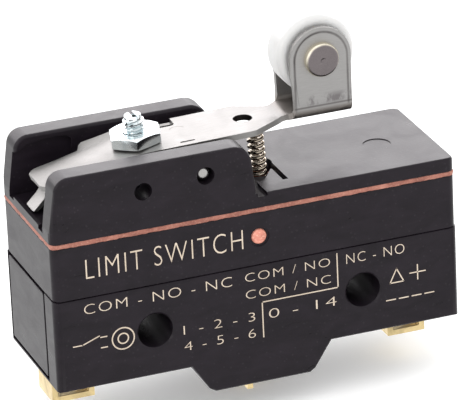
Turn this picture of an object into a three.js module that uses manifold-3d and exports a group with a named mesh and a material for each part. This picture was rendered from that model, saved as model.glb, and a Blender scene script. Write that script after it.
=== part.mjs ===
// Basic snap-action limit switch with a reverse-action hinge roller lever.
// Millimetres, +Z up, +X towards the roller. The origin is midway between the two
// mounting holes, on the rear mounting face. The front face looks towards -Y.
import * as THREE from 'three';
import { mergeVertices } from 'three/addons/utils/BufferGeometryUtils.js';
import Module from 'manifold-3d';

const wasm = await Module();
wasm.setup();

// ---------------------------------------------------------------- driving dimensions
const LENGTH = 49.2;
const THICKNESS = 17.45;
const HOLE_PITCH = 25.4;
const HOLE_DIAMETER = 4.2;

const HALF_L = LENGTH / 2;
const HALF_T = THICKNESS / 2;
const CORNER_R = 0.9;
const EDGE = 0.3; // small edge radius on the mouldings

// heights above the mounting hole centres
const MIDDLE_BOTTOM = -9.08;
const SIDE_BOTTOM = -5.5;
const SEAM_Z = 5.65;
const GASKET_Z0 = 12.13;
const GASKET_Z1 = 12.69;
const DECK_Z = 14.32;
const WALL_TOP = 20.5;

// chamber of the case
const CHAMBER_X = 22.8;
const CHAMBER_Y = 6.4;
const CHAMBER_FLOOR = 3.3;
const CHAMBER_ROOF = 10.1;
const WELL_FLOOR = -7.0;
const WELL_OUTLINE = [
  [-9.4, 4.3], [-9.4, -2.6], [-5.4, WELL_FLOOR], [5.4, WELL_FLOOR], [9.4, -2.6], [9.4, 4.3],
];

// lever housing
const WALL_INNER_Y = 5.4;
const WALL_END_X = 0.2;
const CHANNEL_FLOOR = 13.3;
const SILL = { width: 0.45, top: 13.75 };
const SMALL_HOLE_R = 1.05;
const SPARE_HOLE = { x: -13.3, z: 17.25 };

// lever mechanism
const PIVOT = { x: -5.8, z: 17.75 };
const PIVOT_R = 0.9;
const RUNNING_GAP = 0.06;
const SHEET = 0.7;
const ROLLER_AXIS = { x: 10.6, z: 27.08 };
const ROLLER_R = 4.7;
const ROLLER_W = 4.0;
const BRACKET_HALF_W = 3.25;
const BRACKET_X0 = 7.0;
const BRACKET_X1 = 14.3;
const BRACKET_Z = 19.87;
const AXLE_R = 1.3;
const SCREW_X = -10.95;
const SCREW_R = 1.25;
const SCREW_TILT = THREE.MathUtils.degToRad(-5);
const SPRING = { x: 3.55, radius: 0.85, wire: 0.38, turns: 9, z0: 11.85, z1: 19.45 };
const PLUNGER_X = -10.5;
const PLUNGER_TOP = 14.45;
const PLUNGER_TRAVEL = 0.95;

// terminals, and their soldering lugs below the case
const TERMINAL_T = 0.7;
const TERMINAL_HALF_W = 2.5;
const LUG_BOTTOM = -9.2;
const EYE_R = 0.85;
const COM = { inner: -18.75, outer: -23.15 };
const NC = { inner: 18.35, outer: 22.3 };
const MIDDLE_LUG = { x: 0.6, bottom: -12.7 };

// contact system
const BLADE_Z = 6.8;
const BLADE_T = 0.25;
const BLADE_PLAY = 0.06; // room for the blade to rock in its clamp
const BLADE_X0 = COM.inner - 2.4;
const BLADE_HALF_W = 3;
const CONTACT_X = 16;
const CONTACT_R = 2;
const CONTACT_NECK_R = 1.0;
const CONTACT_GAP = 0.5;
const TOUCH = 0.05; // standing gap where two contacts meet
const HEAD = { fixed: 0.8, lower: 0.8, upper: 0.5 }; // heights of the contact heads
const RIVET_X = COM.inner - 1.2;
const RIVET_NECK_R = 0.6;
const CLAMP_T = 0.8;
const NO_FACE = BLADE_Z - HEAD.lower - TOUCH;
const NC_FACE = BLADE_Z + BLADE_T + HEAD.upper + CONTACT_GAP + TOUCH;
const NO_Z = NO_FACE - HEAD.fixed - TERMINAL_T / 2;
const NC_Z = NC_FACE + HEAD.fixed + TERMINAL_T / 2;

// ---------------------------------------------------------------- materials
const finish = (color, roughness, metalness) =>
  new THREE.MeshStandardMaterial({ color, roughness, metalness });
const PHENOLIC = () => finish(0x232026, 0.42, 0);
const SEALANT = () => finish(0xa5695f, 0.7, 0);
const STEEL = () => finish(0xb9b5b0, 0.28, 1);
const ZINC = () => finish(0xd8dadb, 0.3, 1);
const BRASS = () => finish(0xc9a45a, 0.3, 1);
const COPPER = () => finish(0xb9794e, 0.35, 1);
const SILVER = () => finish(0xdadada, 0.25, 1);
const NYLON = () => finish(0xf2f1ee, 0.45, 0);
const RUBBER = () => finish(0x2a2a2c, 0.85, 0);

// ---------------------------------------------------------------- solids
function solid(geometry) {
  const bare = geometry.index ? geometry.toNonIndexed() : geometry.clone();
  bare.deleteAttribute('normal');
  bare.deleteAttribute('uv');
  const merged = mergeVertices(bare, 1e-4);
  const shape = new wasm.Manifold(new wasm.Mesh({
    numProp: 3,
    vertProperties: new Float32Array(merged.attributes.position.array),
    triVerts: new Uint32Array(merged.index.array),
  }));
  if (shape.status() !== 'NoError') throw new Error(`open solid: ${shape.status()}`);
  return shape;
}

function part(name, shape, material) {
  const { vertProperties, triVerts } = shape.getMesh();
  const geometry = new THREE.BufferGeometry();
  geometry.setAttribute('position', new THREE.BufferAttribute(new Float32Array(vertProperties), 3));
  geometry.setIndex(new THREE.BufferAttribute(new Uint32Array(triVerts), 1));
  geometry.computeVertexNormals();
  const mesh = new THREE.Mesh(geometry, material);
  mesh.name = name;
  return mesh;
}

// A span from a to b on one side of the middle plane, low end first.
const sided = (side, a, b) => [side * a, side * b].sort((p, q) => p - q);
const join = (...shapes) => shapes.reduce((whole, next) => whole.add(next));
const cut = (shape, ...tools) => tools.reduce((left, tool) => left.subtract(tool), shape);

function box(x0, x1, y0, y1, z0, z1) {
  const geometry = new THREE.BoxGeometry(x1 - x0, y1 - y0, z1 - z0);
  geometry.translate((x0 + x1) / 2, (y0 + y1) / 2, (z0 + z1) / 2);
  return solid(geometry);
}

function outline(points) {
  return new THREE.Shape(points.map(([a, b]) => new THREE.Vector2(a, b)));
}

// Rectangle with round corners.
function planOutline(x0, x1, y0, y1, r) {
  const shape = new THREE.Shape();
  shape.moveTo(x0 + r, y0);
  shape.lineTo(x1 - r, y0);
  shape.absarc(x1 - r, y0 + r, r, -Math.PI / 2, 0, false);
  shape.lineTo(x1, y1 - r);
  shape.absarc(x1 - r, y1 - r, r, 0, Math.PI / 2, false);
  shape.lineTo(x0 + r, y1);
  shape.absarc(x0 + r, y1 - r, r, Math.PI / 2, Math.PI, false);
  shape.lineTo(x0, y0 + r);
  shape.absarc(x0 + r, y0 + r, r, Math.PI, Math.PI * 1.5, false);
  return shape;
}

// A shape in X and Y, raised from z0 to z1, with its edges rounded by `edge`.
function upright(shape, z0, z1, edge = 0, curveSegments = 6) {
  const geometry = new THREE.ExtrudeGeometry(shape, {
    depth: z1 - z0 - 2 * edge,
    bevelEnabled: edge > 0,
    bevelThickness: edge,
    bevelSize: edge,
    bevelOffset: -edge,
    bevelSegments: 2,
    curveSegments,
  });
  geometry.translate(0, 0, z0 + edge);
  return solid(geometry);
}

// A shape drawn in X and Z, spanning y0 to y1, with its edges rounded by `edge`.
function crosswise(shape, y0, y1, edge = 0, curveSegments = 6) {
  const geometry = new THREE.ExtrudeGeometry(shape, {
    depth: y1 - y0 - 2 * edge,
    bevelEnabled: edge > 0,
    bevelThickness: edge,
    bevelSize: edge,
    bevelOffset: -edge,
    bevelSegments: 2,
    curveSegments,
  });
  geometry.rotateX(Math.PI / 2);
  geometry.translate(0, y1 - edge, 0);
  return solid(geometry);
}

// A shape drawn in Y and Z, spanning x0 to x1.
function lengthwise(shape, x0, x1, curveSegments = 6) {
  const geometry = new THREE.ExtrudeGeometry(shape, {
    depth: x1 - x0, bevelEnabled: false, curveSegments,
  });
  geometry.rotateX(Math.PI / 2);
  geometry.rotateZ(Math.PI / 2);
  geometry.translate(x0, 0, 0);
  return solid(geometry);
}

function rodY(r, y0, y1, x, z, segments = 24) {
  const geometry = new THREE.CylinderGeometry(r, r, y1 - y0, segments);
  geometry.translate(x, (y0 + y1) / 2, z);
  return solid(geometry);
}

function rodZ(r, z0, z1, x, y = 0, segments = 24) {
  const geometry = new THREE.CylinderGeometry(r, r, z1 - z0, segments);
  geometry.rotateX(Math.PI / 2);
  geometry.translate(x, y, (z0 + z1) / 2);
  return solid(geometry);
}

// Turned about a vertical axis; the profile is [radius, height] from the bottom up.
function turnedZ(profile, x, y = 0, segments = 24) {
  const geometry = new THREE.LatheGeometry(profile.map(([r, h]) => new THREE.Vector2(r, h)), segments);
  geometry.rotateX(Math.PI / 2);
  geometry.translate(x, y, 0);
  return solid(geometry);
}

// Turned about an axis along Y; the profile is [radius, distance along Y].
function turnedY(profile, x, z, segments = 24) {
  const geometry = new THREE.LatheGeometry(profile.map(([r, h]) => new THREE.Vector2(r, h)), segments);
  geometry.translate(x, 0, z);
  return solid(geometry);
}

// A strip of sheet that follows a path of straight runs in X and Z.
function strip(path, thickness, y0, y1) {
  const left = [];
  const right = [];
  path.forEach(([x, z], i) => {
    const here = new THREE.Vector2(x, z);
    const before = i > 0 ? new THREE.Vector2(...path[i - 1]) : null;
    const after = i < path.length - 1 ? new THREE.Vector2(...path[i + 1]) : null;
    const into = (before ? here.clone().sub(before) : after.clone().sub(here)).normalize();
    const out = (after ? after.clone().sub(here) : here.clone().sub(before)).normalize();
    const side = new THREE.Vector2(-into.y - out.y, into.x + out.x).normalize();
    const reach = thickness / 2 / side.dot(new THREE.Vector2(-into.y, into.x));
    left.push([x + side.x * reach, z + side.y * reach]);
    right.unshift([x - side.x * reach, z - side.y * reach]);
  });
  return crosswise(outline([...left, ...right]), y0, y1);
}

// ---------------------------------------------------------------- base and its end plate
const END_PLATE = { y0: -4.7, y1: 7.7, z0: -5.0, depth: 0.8, gap: 0.3 };

function baseCase() {
  const middle = { top: 8.6, foot: 6.2 };
  const profile = outline([
    [-HALF_L, SEAM_Z], [-HALF_L, SIDE_BOTTOM], [-middle.top, SIDE_BOTTOM],
    [-middle.foot - 0.3, MIDDLE_BOTTOM + 0.45], [-middle.foot + 0.4, MIDDLE_BOTTOM],
    [middle.foot - 0.4, MIDDLE_BOTTOM], [middle.foot + 0.3, MIDDLE_BOTTOM + 0.45],
    [middle.top, SIDE_BOTTOM], [HALF_L, SIDE_BOTTOM], [HALF_L, SEAM_Z],
  ]);
  const plan = planOutline(-HALF_L, HALF_L, -HALF_T, HALF_T, CORNER_R);
  let body = crosswise(profile, -HALF_T, HALF_T, EDGE).intersect(
    upright(plan, MIDDLE_BOTTOM - 1, SEAM_Z + 1));
  body = cut(
    body,
    box(-CHAMBER_X, CHAMBER_X, -CHAMBER_Y, CHAMBER_Y, CHAMBER_FLOOR, SEAM_Z + 1),
    crosswise(outline(WELL_OUTLINE), -CHAMBER_Y, CHAMBER_Y));
  for (const x of [-HOLE_PITCH / 2, HOLE_PITCH / 2]) {
    const r = HOLE_DIAMETER / 2;
    const rim = 0.2;
    body = cut(body, turnedY([
      [0, -HALF_T - 1], [r + 1 + rim, -HALF_T - 1], [r, -HALF_T + rim],
      [r, HALF_T - rim], [r + 1 + rim, HALF_T + 1], [0, HALF_T + 1],
    ], x, 0, 32));
  }
  // pocket for the end plate, open at the left end
  const { y0, y1, z0, depth, gap } = END_PLATE;
  body = cut(body, box(
    -HALF_L - 1, -HALF_L + depth + gap, y0 - 0.6, y1 + 0.4, z0 - gap, SEAM_Z + 1));
  // slots that the terminals pass through
  for (const slot of TERMINAL_SLOTS) body = cut(body, slot);
  return body;
}

function endPlate() {
  const { y0, y1, z0, depth } = END_PLATE;
  const plan = planOutline(y0, y1, z0, SEAM_Z - 0.35, 0.25);
  return lengthwise(plan, -HALF_L + 0.04, -HALF_L + depth, 3);
}

// ---------------------------------------------------------------- terminals
const slotAt = (x, z0, z1) => {
  const gap = 0.12;
  const half = TERMINAL_T / 2 + gap;
  return box(x - half, x + half, -TERMINAL_HALF_W - gap, TERMINAL_HALF_W + gap, z0, z1);
};
const TERMINAL_SLOTS = [
  slotAt(COM.inner, SIDE_BOTTOM - 1, CHAMBER_FLOOR + 1),
  slotAt(NC.outer, SIDE_BOTTOM - 1, CHAMBER_FLOOR + 1),
  slotAt(MIDDLE_LUG.x, MIDDLE_BOTTOM - 1, WELL_FLOOR + 1),
];

// Sheet brass with a soldering eye cut through it.
function terminal(path, eye) {
  return cut(strip(path, TERMINAL_T, -TERMINAL_HALF_W, TERMINAL_HALF_W), eye);
}

const eyeDown = (x) => rodZ(EYE_R, LUG_BOTTOM - 1, LUG_BOTTOM + 1, x);

function comTerminal() {
  const top = BLADE_Z - BLADE_PLAY - TERMINAL_T / 2;
  const path = [
    [COM.inner - 2.6, top], [COM.inner, top], [COM.inner, LUG_BOTTOM], [COM.outer, LUG_BOTTOM],
    [COM.outer, SIDE_BOTTOM - 0.5],
  ];
  return terminal(path, eyeDown((COM.inner + COM.outer) / 2));
}

function noTerminal() {
  const path = [
    [CONTACT_X + 2, NO_Z], [MIDDLE_LUG.x, NO_Z], [MIDDLE_LUG.x, MIDDLE_LUG.bottom],
  ];
  const geometry = new THREE.CylinderGeometry(EYE_R, EYE_R, 3, 20);
  geometry.rotateZ(Math.PI / 2);
  geometry.translate(MIDDLE_LUG.x, 0, MIDDLE_LUG.bottom + 1.7);
  return terminal(path, solid(geometry));
}

function ncTerminal() {
  const path = [
    [CONTACT_X - 2.4, NC_Z], [NC.outer, NC_Z], [NC.outer, LUG_BOTTOM], [NC.inner, LUG_BOTTOM],
    [NC.inner, SIDE_BOTTOM - 0.5],
  ];
  return terminal(path, eyeDown((NC.inner + NC.outer) / 2));
}

// ---------------------------------------------------------------- contact system
function snapBlade() {
  const end = CONTACT_X + 1.9;
  const window = { x0: -14.5, x1: 12.4, y0: 0.9, y1: 2.1 };
  const plan = planOutline(BLADE_X0, end, -BLADE_HALF_W, BLADE_HALF_W, 0.8);
  let blade = upright(plan, BLADE_Z, BLADE_Z + BLADE_T, 0, 3);
  for (const side of [-1, 1]) {
    const [y0, y1] = sided(side, window.y0, window.y1);
    blade = cut(blade, box(window.x0, window.x1, y0, y1, BLADE_Z - 1, BLADE_Z + 1));
  }
  // bowed compression leg under the plunger
  const rise = 0.9;
  const bow = new THREE.Shape();
  bow.moveTo(-4, BLADE_Z + 0.1);
  bow.quadraticCurveTo(2, BLADE_Z + 2 * rise, 8, BLADE_Z + 0.1);
  bow.lineTo(7.6, BLADE_Z + 0.1);
  bow.quadraticCurveTo(2, BLADE_Z + 2 * rise - 0.5, -3.6, BLADE_Z + 0.1);
  return cut(
    join(blade, crosswise(bow, -0.85, 0.85, 0, 6)),
    rodZ(CONTACT_NECK_R + 0.05, BLADE_Z - 1, BLADE_Z + 1, CONTACT_X),
    rodZ(RIVET_NECK_R + 0.05, BLADE_Z - 1, BLADE_Z + 1, RIVET_X));
}

function movingContact() {
  const low = BLADE_Z - HEAD.lower;
  const under = BLADE_Z - TOUCH;
  const over = BLADE_Z + BLADE_T + TOUCH;
  const high = BLADE_Z + BLADE_T + HEAD.upper;
  return turnedZ([
    [0, low], [CONTACT_R - 0.3, low], [CONTACT_R, low + 0.2], [CONTACT_R, under],
    [CONTACT_NECK_R, under], [CONTACT_NECK_R, over], [CONTACT_R, over],
    [CONTACT_R, high - 0.15], [CONTACT_R - 0.3, high], [0, high],
  ], CONTACT_X);
}

function fixedContact(face, back) {
  const step = Math.sign(back - face) * 0.2;
  const profile = [
    [0, face], [CONTACT_R - 0.2, face], [CONTACT_R, face + step], [CONTACT_R, back], [0, back],
  ];
  return turnedZ(face < back ? profile : profile.reverse(), CONTACT_X);
}

function bladeClamp() {
  const bottom = BLADE_Z + BLADE_T + BLADE_PLAY;
  const plan = planOutline(BLADE_X0, COM.inner + 0.4, -2.6, 2.6, 0.4);
  return cut(
    upright(plan, bottom, bottom + CLAMP_T, 0, 3),
    rodZ(RIVET_NECK_R + 0.05, bottom - 1, bottom + CLAMP_T + 1, RIVET_X));
}

function bladeRivet() {
  const foot = BLADE_Z - 0.01;
  const top = BLADE_Z + BLADE_T + BLADE_PLAY + CLAMP_T + 0.02;
  const head = { r: 1.2, height: 0.7 };
  return turnedZ([
    [0, foot], [RIVET_NECK_R, foot], [RIVET_NECK_R, top], [head.r, top],
    [head.r, top + head.height / 2], [head.r - 0.4, top + head.height], [0, top + head.height],
  ], RIVET_X, 0, 20);
}

// ---------------------------------------------------------------- cover, gasket, vent plug
const PLUNGER_R = 1.1;
const BOSS_R = 2.5;
const BOSS_Z = SPRING.z0 - 0.6;
const VENT = { x: 0.3, z: 9.1, r: 0.95 };
const COVER_INSET = 0.1;

function caseCover() {
  const plan = planOutline(
    -HALF_L + COVER_INSET, HALF_L - COVER_INSET, -HALF_T + COVER_INSET, HALF_T - COVER_INSET, CORNER_R);
  return cut(
    upright(plan, SEAM_Z, GASKET_Z0, 0.15),
    box(-CHAMBER_X, CHAMBER_X, -CHAMBER_Y, CHAMBER_Y, SEAM_Z - 1, CHAMBER_ROOF),
    rodZ(PLUNGER_R + 0.15, CHAMBER_ROOF - 1, GASKET_Z0 + 1, PLUNGER_X),
    rodZ(BOSS_R + 0.1, BOSS_Z - 0.1, GASKET_Z0 + 1, SPRING.x, 0, 28),
    rodY(VENT.r + 0.25, -HALF_T - 1, -HALF_T + COVER_INSET + 0.18, VENT.x, VENT.z),
    rodY(VENT.r, -HALF_T - 1, -CHAMBER_Y + 1, VENT.x, VENT.z));
}

function ventPlug() {
  const face = -HALF_T + COVER_INSET;
  return turnedY([
    [0, face + 1.8], [VENT.r - 0.04, face + 1.8], [VENT.r - 0.04, face + 0.1],
    [VENT.r - 0.25, face - 0.02], [0, face - 0.06],
  ].reverse(), VENT.x, VENT.z);
}

function gasketSheet() {
  const inset = COVER_INSET / 2;
  const plan = planOutline(-HALF_L + inset, HALF_L - inset, -HALF_T + inset, HALF_T - inset, CORNER_R);
  return cut(
    upright(plan, GASKET_Z0, GASKET_Z1, 0.08),
    rodZ(PLUNGER_R + 0.2, GASKET_Z0 - 1, GASKET_Z1 + 1, PLUNGER_X),
    rodZ(BOSS_R + 0.1, GASKET_Z0 - 1, GASKET_Z1 + 1, SPRING.x, 0, 28));
}

// ---------------------------------------------------------------- lever housing
function wallProfile(left) {
  const corner = 1.8;
  const lean = 0.7; // the open end slopes in towards the top
  const endRadius = 2.3;
  const root = GASKET_Z1 - 1;
  const shape = new THREE.Shape();
  shape.moveTo(left, root);
  shape.lineTo(WALL_END_X + 0.1, root);
  shape.lineTo(WALL_END_X, DECK_Z + 0.6);
  shape.lineTo(-0.15, WALL_TOP - endRadius);
  shape.absarc(-0.15 - endRadius, WALL_TOP - endRadius, endRadius, 0, Math.PI / 2, false);
  shape.lineTo(left + lean + corner, WALL_TOP);
  shape.absarc(left + lean + corner, WALL_TOP - corner, corner, Math.PI / 2, Math.PI * 0.95, false);
  shape.lineTo(left + 0.05, DECK_Z);
  return shape;
}

function leverHousing() {
  const inset = 0.08;
  const x0 = -HALF_L + inset;
  const x1 = HALF_L - inset;
  const y1 = HALF_T - inset;
  const envelope = upright(planOutline(x0, x1, -y1, y1, CORNER_R), GASKET_Z1, WALL_TOP + 1, 0, 6);
  const deck = upright(planOutline(x0, x1 - 0.05, -y1, y1, CORNER_R), GASKET_Z1 - 1, DECK_Z, EDGE);
  const walls = [-1, 1].map((side) => crosswise(wallProfile(x0), ...sided(side, WALL_INNER_Y, y1), 0.4));
  // lever channel with its funnel end round the spring
  const funnel = { x0: 2.5, y0: 5.0, x1: 4.3, y1: 2.3 };
  const channel = outline([
    [x0 + SILL.width, -WALL_INNER_Y], [1.2, -WALL_INNER_Y], [funnel.x0, -funnel.y0], [funnel.x1, -funnel.y1],
    [funnel.x1, funnel.y1], [funnel.x0, funnel.y0], [1.2, WALL_INNER_Y], [x0 + SILL.width, WALL_INNER_Y],
  ]);
  const slot = { x0: 4.45, x1: 5.1, y: 5.85, depth: 1.1 };
  const foot = { x0: WALL_END_X + 0.15, x1: 1.5, depth: 0.35 };
  const ejector = { x: 18, y: -0.9, r: 1.65 };
  let body = cut(
    join(deck, walls[0], walls[1]).intersect(envelope),
    upright(channel, CHANNEL_FLOOR, DECK_Z + 1),
    box(x0 - 1, x0 + 2, -WALL_INNER_Y, WALL_INNER_Y, SILL.top, DECK_Z + 1),
    box(slot.x0 - 0.3, slot.x1, -funnel.y1, funnel.y1, CHANNEL_FLOOR, DECK_Z + 1),
    box(slot.x0, slot.x1, -slot.y, slot.y, DECK_Z - slot.depth, DECK_Z + 1),
    rodZ(ejector.r, DECK_Z - 0.08, DECK_Z + 1, ejector.x, ejector.y));
  // shallow recess on the inner face of each wall, near the open end
  const recess = outline([
    [x0 - 1, CHANNEL_FLOOR], [-16.9, CHANNEL_FLOOR], [-16.9, 19.1], [-17.4, 19.65], [-18.6, 19.8],
    [-20.6, 19.7], [-22.3, 19.4], [-23.2, 18.8], [x0 - 1, 18.2],
  ]);
  for (const side of [-1, 1]) {
    const [footY0, footY1] = sided(side, WALL_INNER_Y - 0.1, HALF_T + 1);
    const [recessY0, recessY1] = sided(side, WALL_INNER_Y - 1, WALL_INNER_Y + 0.5);
    body = cut(
      body,
      box(foot.x0, foot.x1, footY0, footY1, DECK_Z - foot.depth, DECK_Z + 0.02),
      crosswise(recess, recessY0, recessY1));
  }
  const boss = rodZ(BOSS_R, BOSS_Z, GASKET_Z1 + 0.3, SPRING.x, 0, 28);
  return cut(
    join(body, boss),
    rodZ(1.7, SPRING.z0 - 0.1, DECK_Z + 1, SPRING.x, 0, 28),
    rodZ(PLUNGER_R + 0.2, GASKET_Z1 - 1, DECK_Z + 1, PLUNGER_X),
    rodY(SMALL_HOLE_R, -HALF_T - 1, HALF_T + 1, SPARE_HOLE.x, SPARE_HOLE.z),
    rodY(SMALL_HOLE_R, -HALF_T - 1, HALF_T + 1, PIVOT.x, PIVOT.z));
}

const pivotPin = () => turnedY([
  [0, -8.0], [PIVOT_R - 0.25, -8.0], [PIVOT_R, -7.75], [PIVOT_R, 7.75], [PIVOT_R - 0.25, 8.0], [0, 8.0],
], PIVOT.x, PIVOT.z);

// ---------------------------------------------------------------- plunger and its seal
function plunger() {
  const collarTop = CHAMBER_ROOF - PLUNGER_TRAVEL - 0.1;
  const tip = BLADE_Z + BLADE_T + TOUCH;
  return turnedZ([
    [0, tip], [0.7, tip], [0.9, tip + 0.3], [1.9, tip + 0.3], [1.9, collarTop], [PLUNGER_R, collarTop],
    [PLUNGER_R, PLUNGER_TOP - 0.3], [PLUNGER_R - 0.35, PLUNGER_TOP], [0, PLUNGER_TOP],
  ], PLUNGER_X);
}

function plungerSeal() {
  const bottom = CHANNEL_FLOOR + 0.02;
  const bore = PLUNGER_R + RUNNING_GAP;
  return turnedZ([
    [bore, bottom], [2.4, bottom], [2.4, bottom + 0.25], [1.7, bottom + 0.45], [bore + 0.2, bottom + 0.75],
    [bore, bottom + 0.75], [bore, bottom],
  ], PLUNGER_X);
}

// ---------------------------------------------------------------- lever
const ARM_X0 = -23.3;

// Height of the lever's upper surface on its centre line.
function armTop(x) {
  if (x > 5.2) return 20.22 + (BRACKET_Z + SHEET - 20.22) * THREE.MathUtils.smoothstep(x, 5.2, 6.9);
  if (x > -9) return 19.9 + (x + 9) * 0.0225;
  const t = -9 - x;
  return 19.9 - 0.06 * t - 0.0096 * t * t + 0.3 * THREE.MathUtils.smoothstep(t, 10, 14.3);
}

// Half-width of the pressed plate along its length.
function armHalfWidth(x) {
  const nose = { r: 2.9, blend: 1.2 };
  const widest = 4.1;
  const waist = { x: -13, r: 3.35 };
  const neck = { start: 2.1, x: 5.8, r: 1.95, root: 2.4 };
  const tip = x - ARM_X0;
  if (tip < nose.blend) return nose.r * Math.sqrt(1 - ((nose.blend - tip) / (nose.blend + 0.35)) ** 2);
  if (x < waist.x) {
    const share = (tip - nose.blend) / (waist.x - ARM_X0 - nose.blend);
    return THREE.MathUtils.lerp(nose.r, waist.r, share);
  }
  if (x < neck.start) return THREE.MathUtils.lerp(waist.r, widest, THREE.MathUtils.smoothstep(x, waist.x, -8.6));
  if (x < neck.x) return THREE.MathUtils.lerp(widest, neck.r, (x - neck.start) / (neck.x - neck.start));
  return THREE.MathUtils.lerp(neck.r, neck.root, THREE.MathUtils.smoothstep(x, neck.x, BRACKET_X0));
}

function leverPlate() {
  const end = BRACKET_X0 + 0.4;
  const geometry = new THREE.BoxGeometry(1, 1, 1, 40, 4, 1);
  const position = geometry.attributes.position;
  for (let i = 0; i < position.count; i += 1) {
    const x = THREE.MathUtils.lerp(ARM_X0, end, position.getX(i) + 0.5);
    const across = position.getY(i) * 2;
    const crown = 0.32 * THREE.MathUtils.smoothstep(-x, 9, 15) * across * across;
    const under = position.getZ(i) < 0 ? SHEET : 0;
    position.setXYZ(i, x, across * armHalfWidth(x), armTop(x) - crown - under);
  }
  return solid(geometry);
}

// U-shaped section of the roller bracket, open upwards, in Y and Z.
function bracketSection() {
  const w = BRACKET_HALF_W;
  const rOut = 1.2;
  const rIn = rOut - SHEET;
  const top = ROLLER_AXIS.z + 5;
  const z = BRACKET_Z;
  const shape = new THREE.Shape();
  shape.moveTo(-w, top);
  shape.lineTo(-w, z + rOut);
  shape.absarc(-w + rOut, z + rOut, rOut, Math.PI, Math.PI * 1.5, false);
  shape.lineTo(w - rOut, z);
  shape.absarc(w - rOut, z + rOut, rOut, -Math.PI / 2, 0, false);
  shape.lineTo(w, top);
  shape.lineTo(w - SHEET, top);
  shape.lineTo(w - SHEET, z + rOut);
  shape.absarc(w - rOut, z + rOut, rIn, 0, -Math.PI / 2, true);
  shape.lineTo(-w + rOut, z + SHEET);
  shape.absarc(-w + rOut, z + rOut, rIn, -Math.PI / 2, -Math.PI, true);
  shape.lineTo(-w + SHEET, top);
  return shape;
}

function leverBody() {
  const earR = 3.72;
  const side = new THREE.Shape();
  side.moveTo(BRACKET_X0 + 0.35, BRACKET_Z - 1);
  side.lineTo(BRACKET_X1 - 0.1, BRACKET_Z - 1);
  side.lineTo(ROLLER_AXIS.x + earR, ROLLER_AXIS.z - 0.6);
  side.absarc(ROLLER_AXIS.x, ROLLER_AXIS.z, earR, 0, Math.PI, false);
  side.lineTo(ROLLER_AXIS.x - earR, ROLLER_AXIS.z - 1.5);
  const bracket = lengthwise(bracketSection(), BRACKET_X0 - 1, BRACKET_X1 + 1)
    .intersect(crosswise(side, -HALF_T, HALF_T, 0, 14));

  // ears bent down round the pivot pin
  const pivotEar = new THREE.Shape();
  pivotEar.moveTo(PIVOT.x - 2.2, 19.6);
  pivotEar.lineTo(PIVOT.x - 1.6, PIVOT.z);
  pivotEar.absarc(PIVOT.x, PIVOT.z, 1.6, Math.PI, Math.PI * 2, false);
  pivotEar.lineTo(PIVOT.x + 2.2, 19.6);
  const earInner = 3.35;
  const ears = [-1, 1].map((side) => crosswise(pivotEar, ...sided(side, earInner, earInner + SHEET)));

  // stop tab that hangs from the nose and leans out behind the sill
  const tab = strip([[-21.2, 17.2], [-21.45, 15.75], [-23.55, 13.4]], SHEET, -0.5, 2.1);

  // flange along the rear edge of the plate, a little below its crown
  const flangePath = [-16.5, -14.6, -12.7, -10.8, -8.8].map((x) => [x, armTop(x) - 0.25 - SHEET / 2]);
  const flange = strip(flangePath, SHEET, 2.8, 4.1);

  return cut(
    join(leverPlate(), bracket, ears[0], ears[1], tab, flange),
    box(-25, -21, -1, 3, 12, CHANNEL_FLOOR + 0.12), // lower end of the tab, level with the floor
    box(-9.0, -5.4, 2.0, 6, 18, 22), // notch behind the nut
    box(-6.8, -4.9, -earInner + 0.02, -earInner + 0.4, 18, 22), // relief slot along the front ear
    rodY(PIVOT_R + RUNNING_GAP, -6, 6, PIVOT.x, PIVOT.z),
    rodY(AXLE_R + 0.05, -6, 6, ROLLER_AXIS.x, ROLLER_AXIS.z),
    rodZ(1.1, 18, 22, 2.0),
    rodZ(SCREW_R + 0.2, 17, 22, SCREW_X));
}

// ---------------------------------------------------------------- screw, nut, spring, roller
// The screw and nut are drawn upright about the origin and tilted with the arm.
function adjustingScrew() {
  const low = -5.3;
  const high = 3.6;
  const profile = [
    [0, low], [SCREW_R - 0.4, low], [SCREW_R, low + 0.4], [SCREW_R, high - 0.3], [SCREW_R - 0.3, high],
    [0, high],
  ];
  return cut(turnedZ(profile, 0), box(-0.25, 0.25, -2, 2, high - 0.65, high + 1));
}

function lockNut() {
  const across = 5.6;
  const height = 1.3;
  const turn = -15; // degrees about its own axis
  const hexagon = turnedZ([
    [0, 0], [across / 2 + 0.1, 0], [across / Math.sqrt(3), 0.2], [across / Math.sqrt(3), height - 0.3],
    [across / 2, height], [0, height],
  ], 0, 0, 6);
  return cut(hexagon.rotate([0, 0, turn]), rodZ(SCREW_R + 0.05, -1, height + 1, 0));
}

class Helix extends THREE.Curve {
  getPoint(t, target = new THREE.Vector3()) {
    const { radius, wire, turns, z0, z1 } = SPRING;
    const closed = 0.09; // share of the wire in each closed end turn
    const angle = 2 * Math.PI * turns * t;
    const low = z0 + wire / 2 + 0.02;
    const high = z1 - wire / 2 - 0.05;
    const rise = THREE.MathUtils.clamp((t - closed) / (1 - 2 * closed), 0, 1);
    const creep = Math.min(t, closed) - Math.max(0, closed - (1 - t));
    const endTurn = wire + 0.03;
    const height = low + (creep / closed) * endTurn + rise * (high - low - 2 * endTurn);
    return target.set(radius * Math.cos(angle), radius * Math.sin(angle), height);
  }
}

function returnSpring() {
  const section = new THREE.Shape();
  section.absarc(0, 0, SPRING.wire / 2, 0, Math.PI * 2, false);
  const geometry = new THREE.ExtrudeGeometry(section, {
    steps: SPRING.turns * 12, extrudePath: new Helix(), bevelEnabled: false, curveSegments: 3,
  });
  geometry.translate(SPRING.x, 0, 0);
  return solid(geometry);
}

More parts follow.
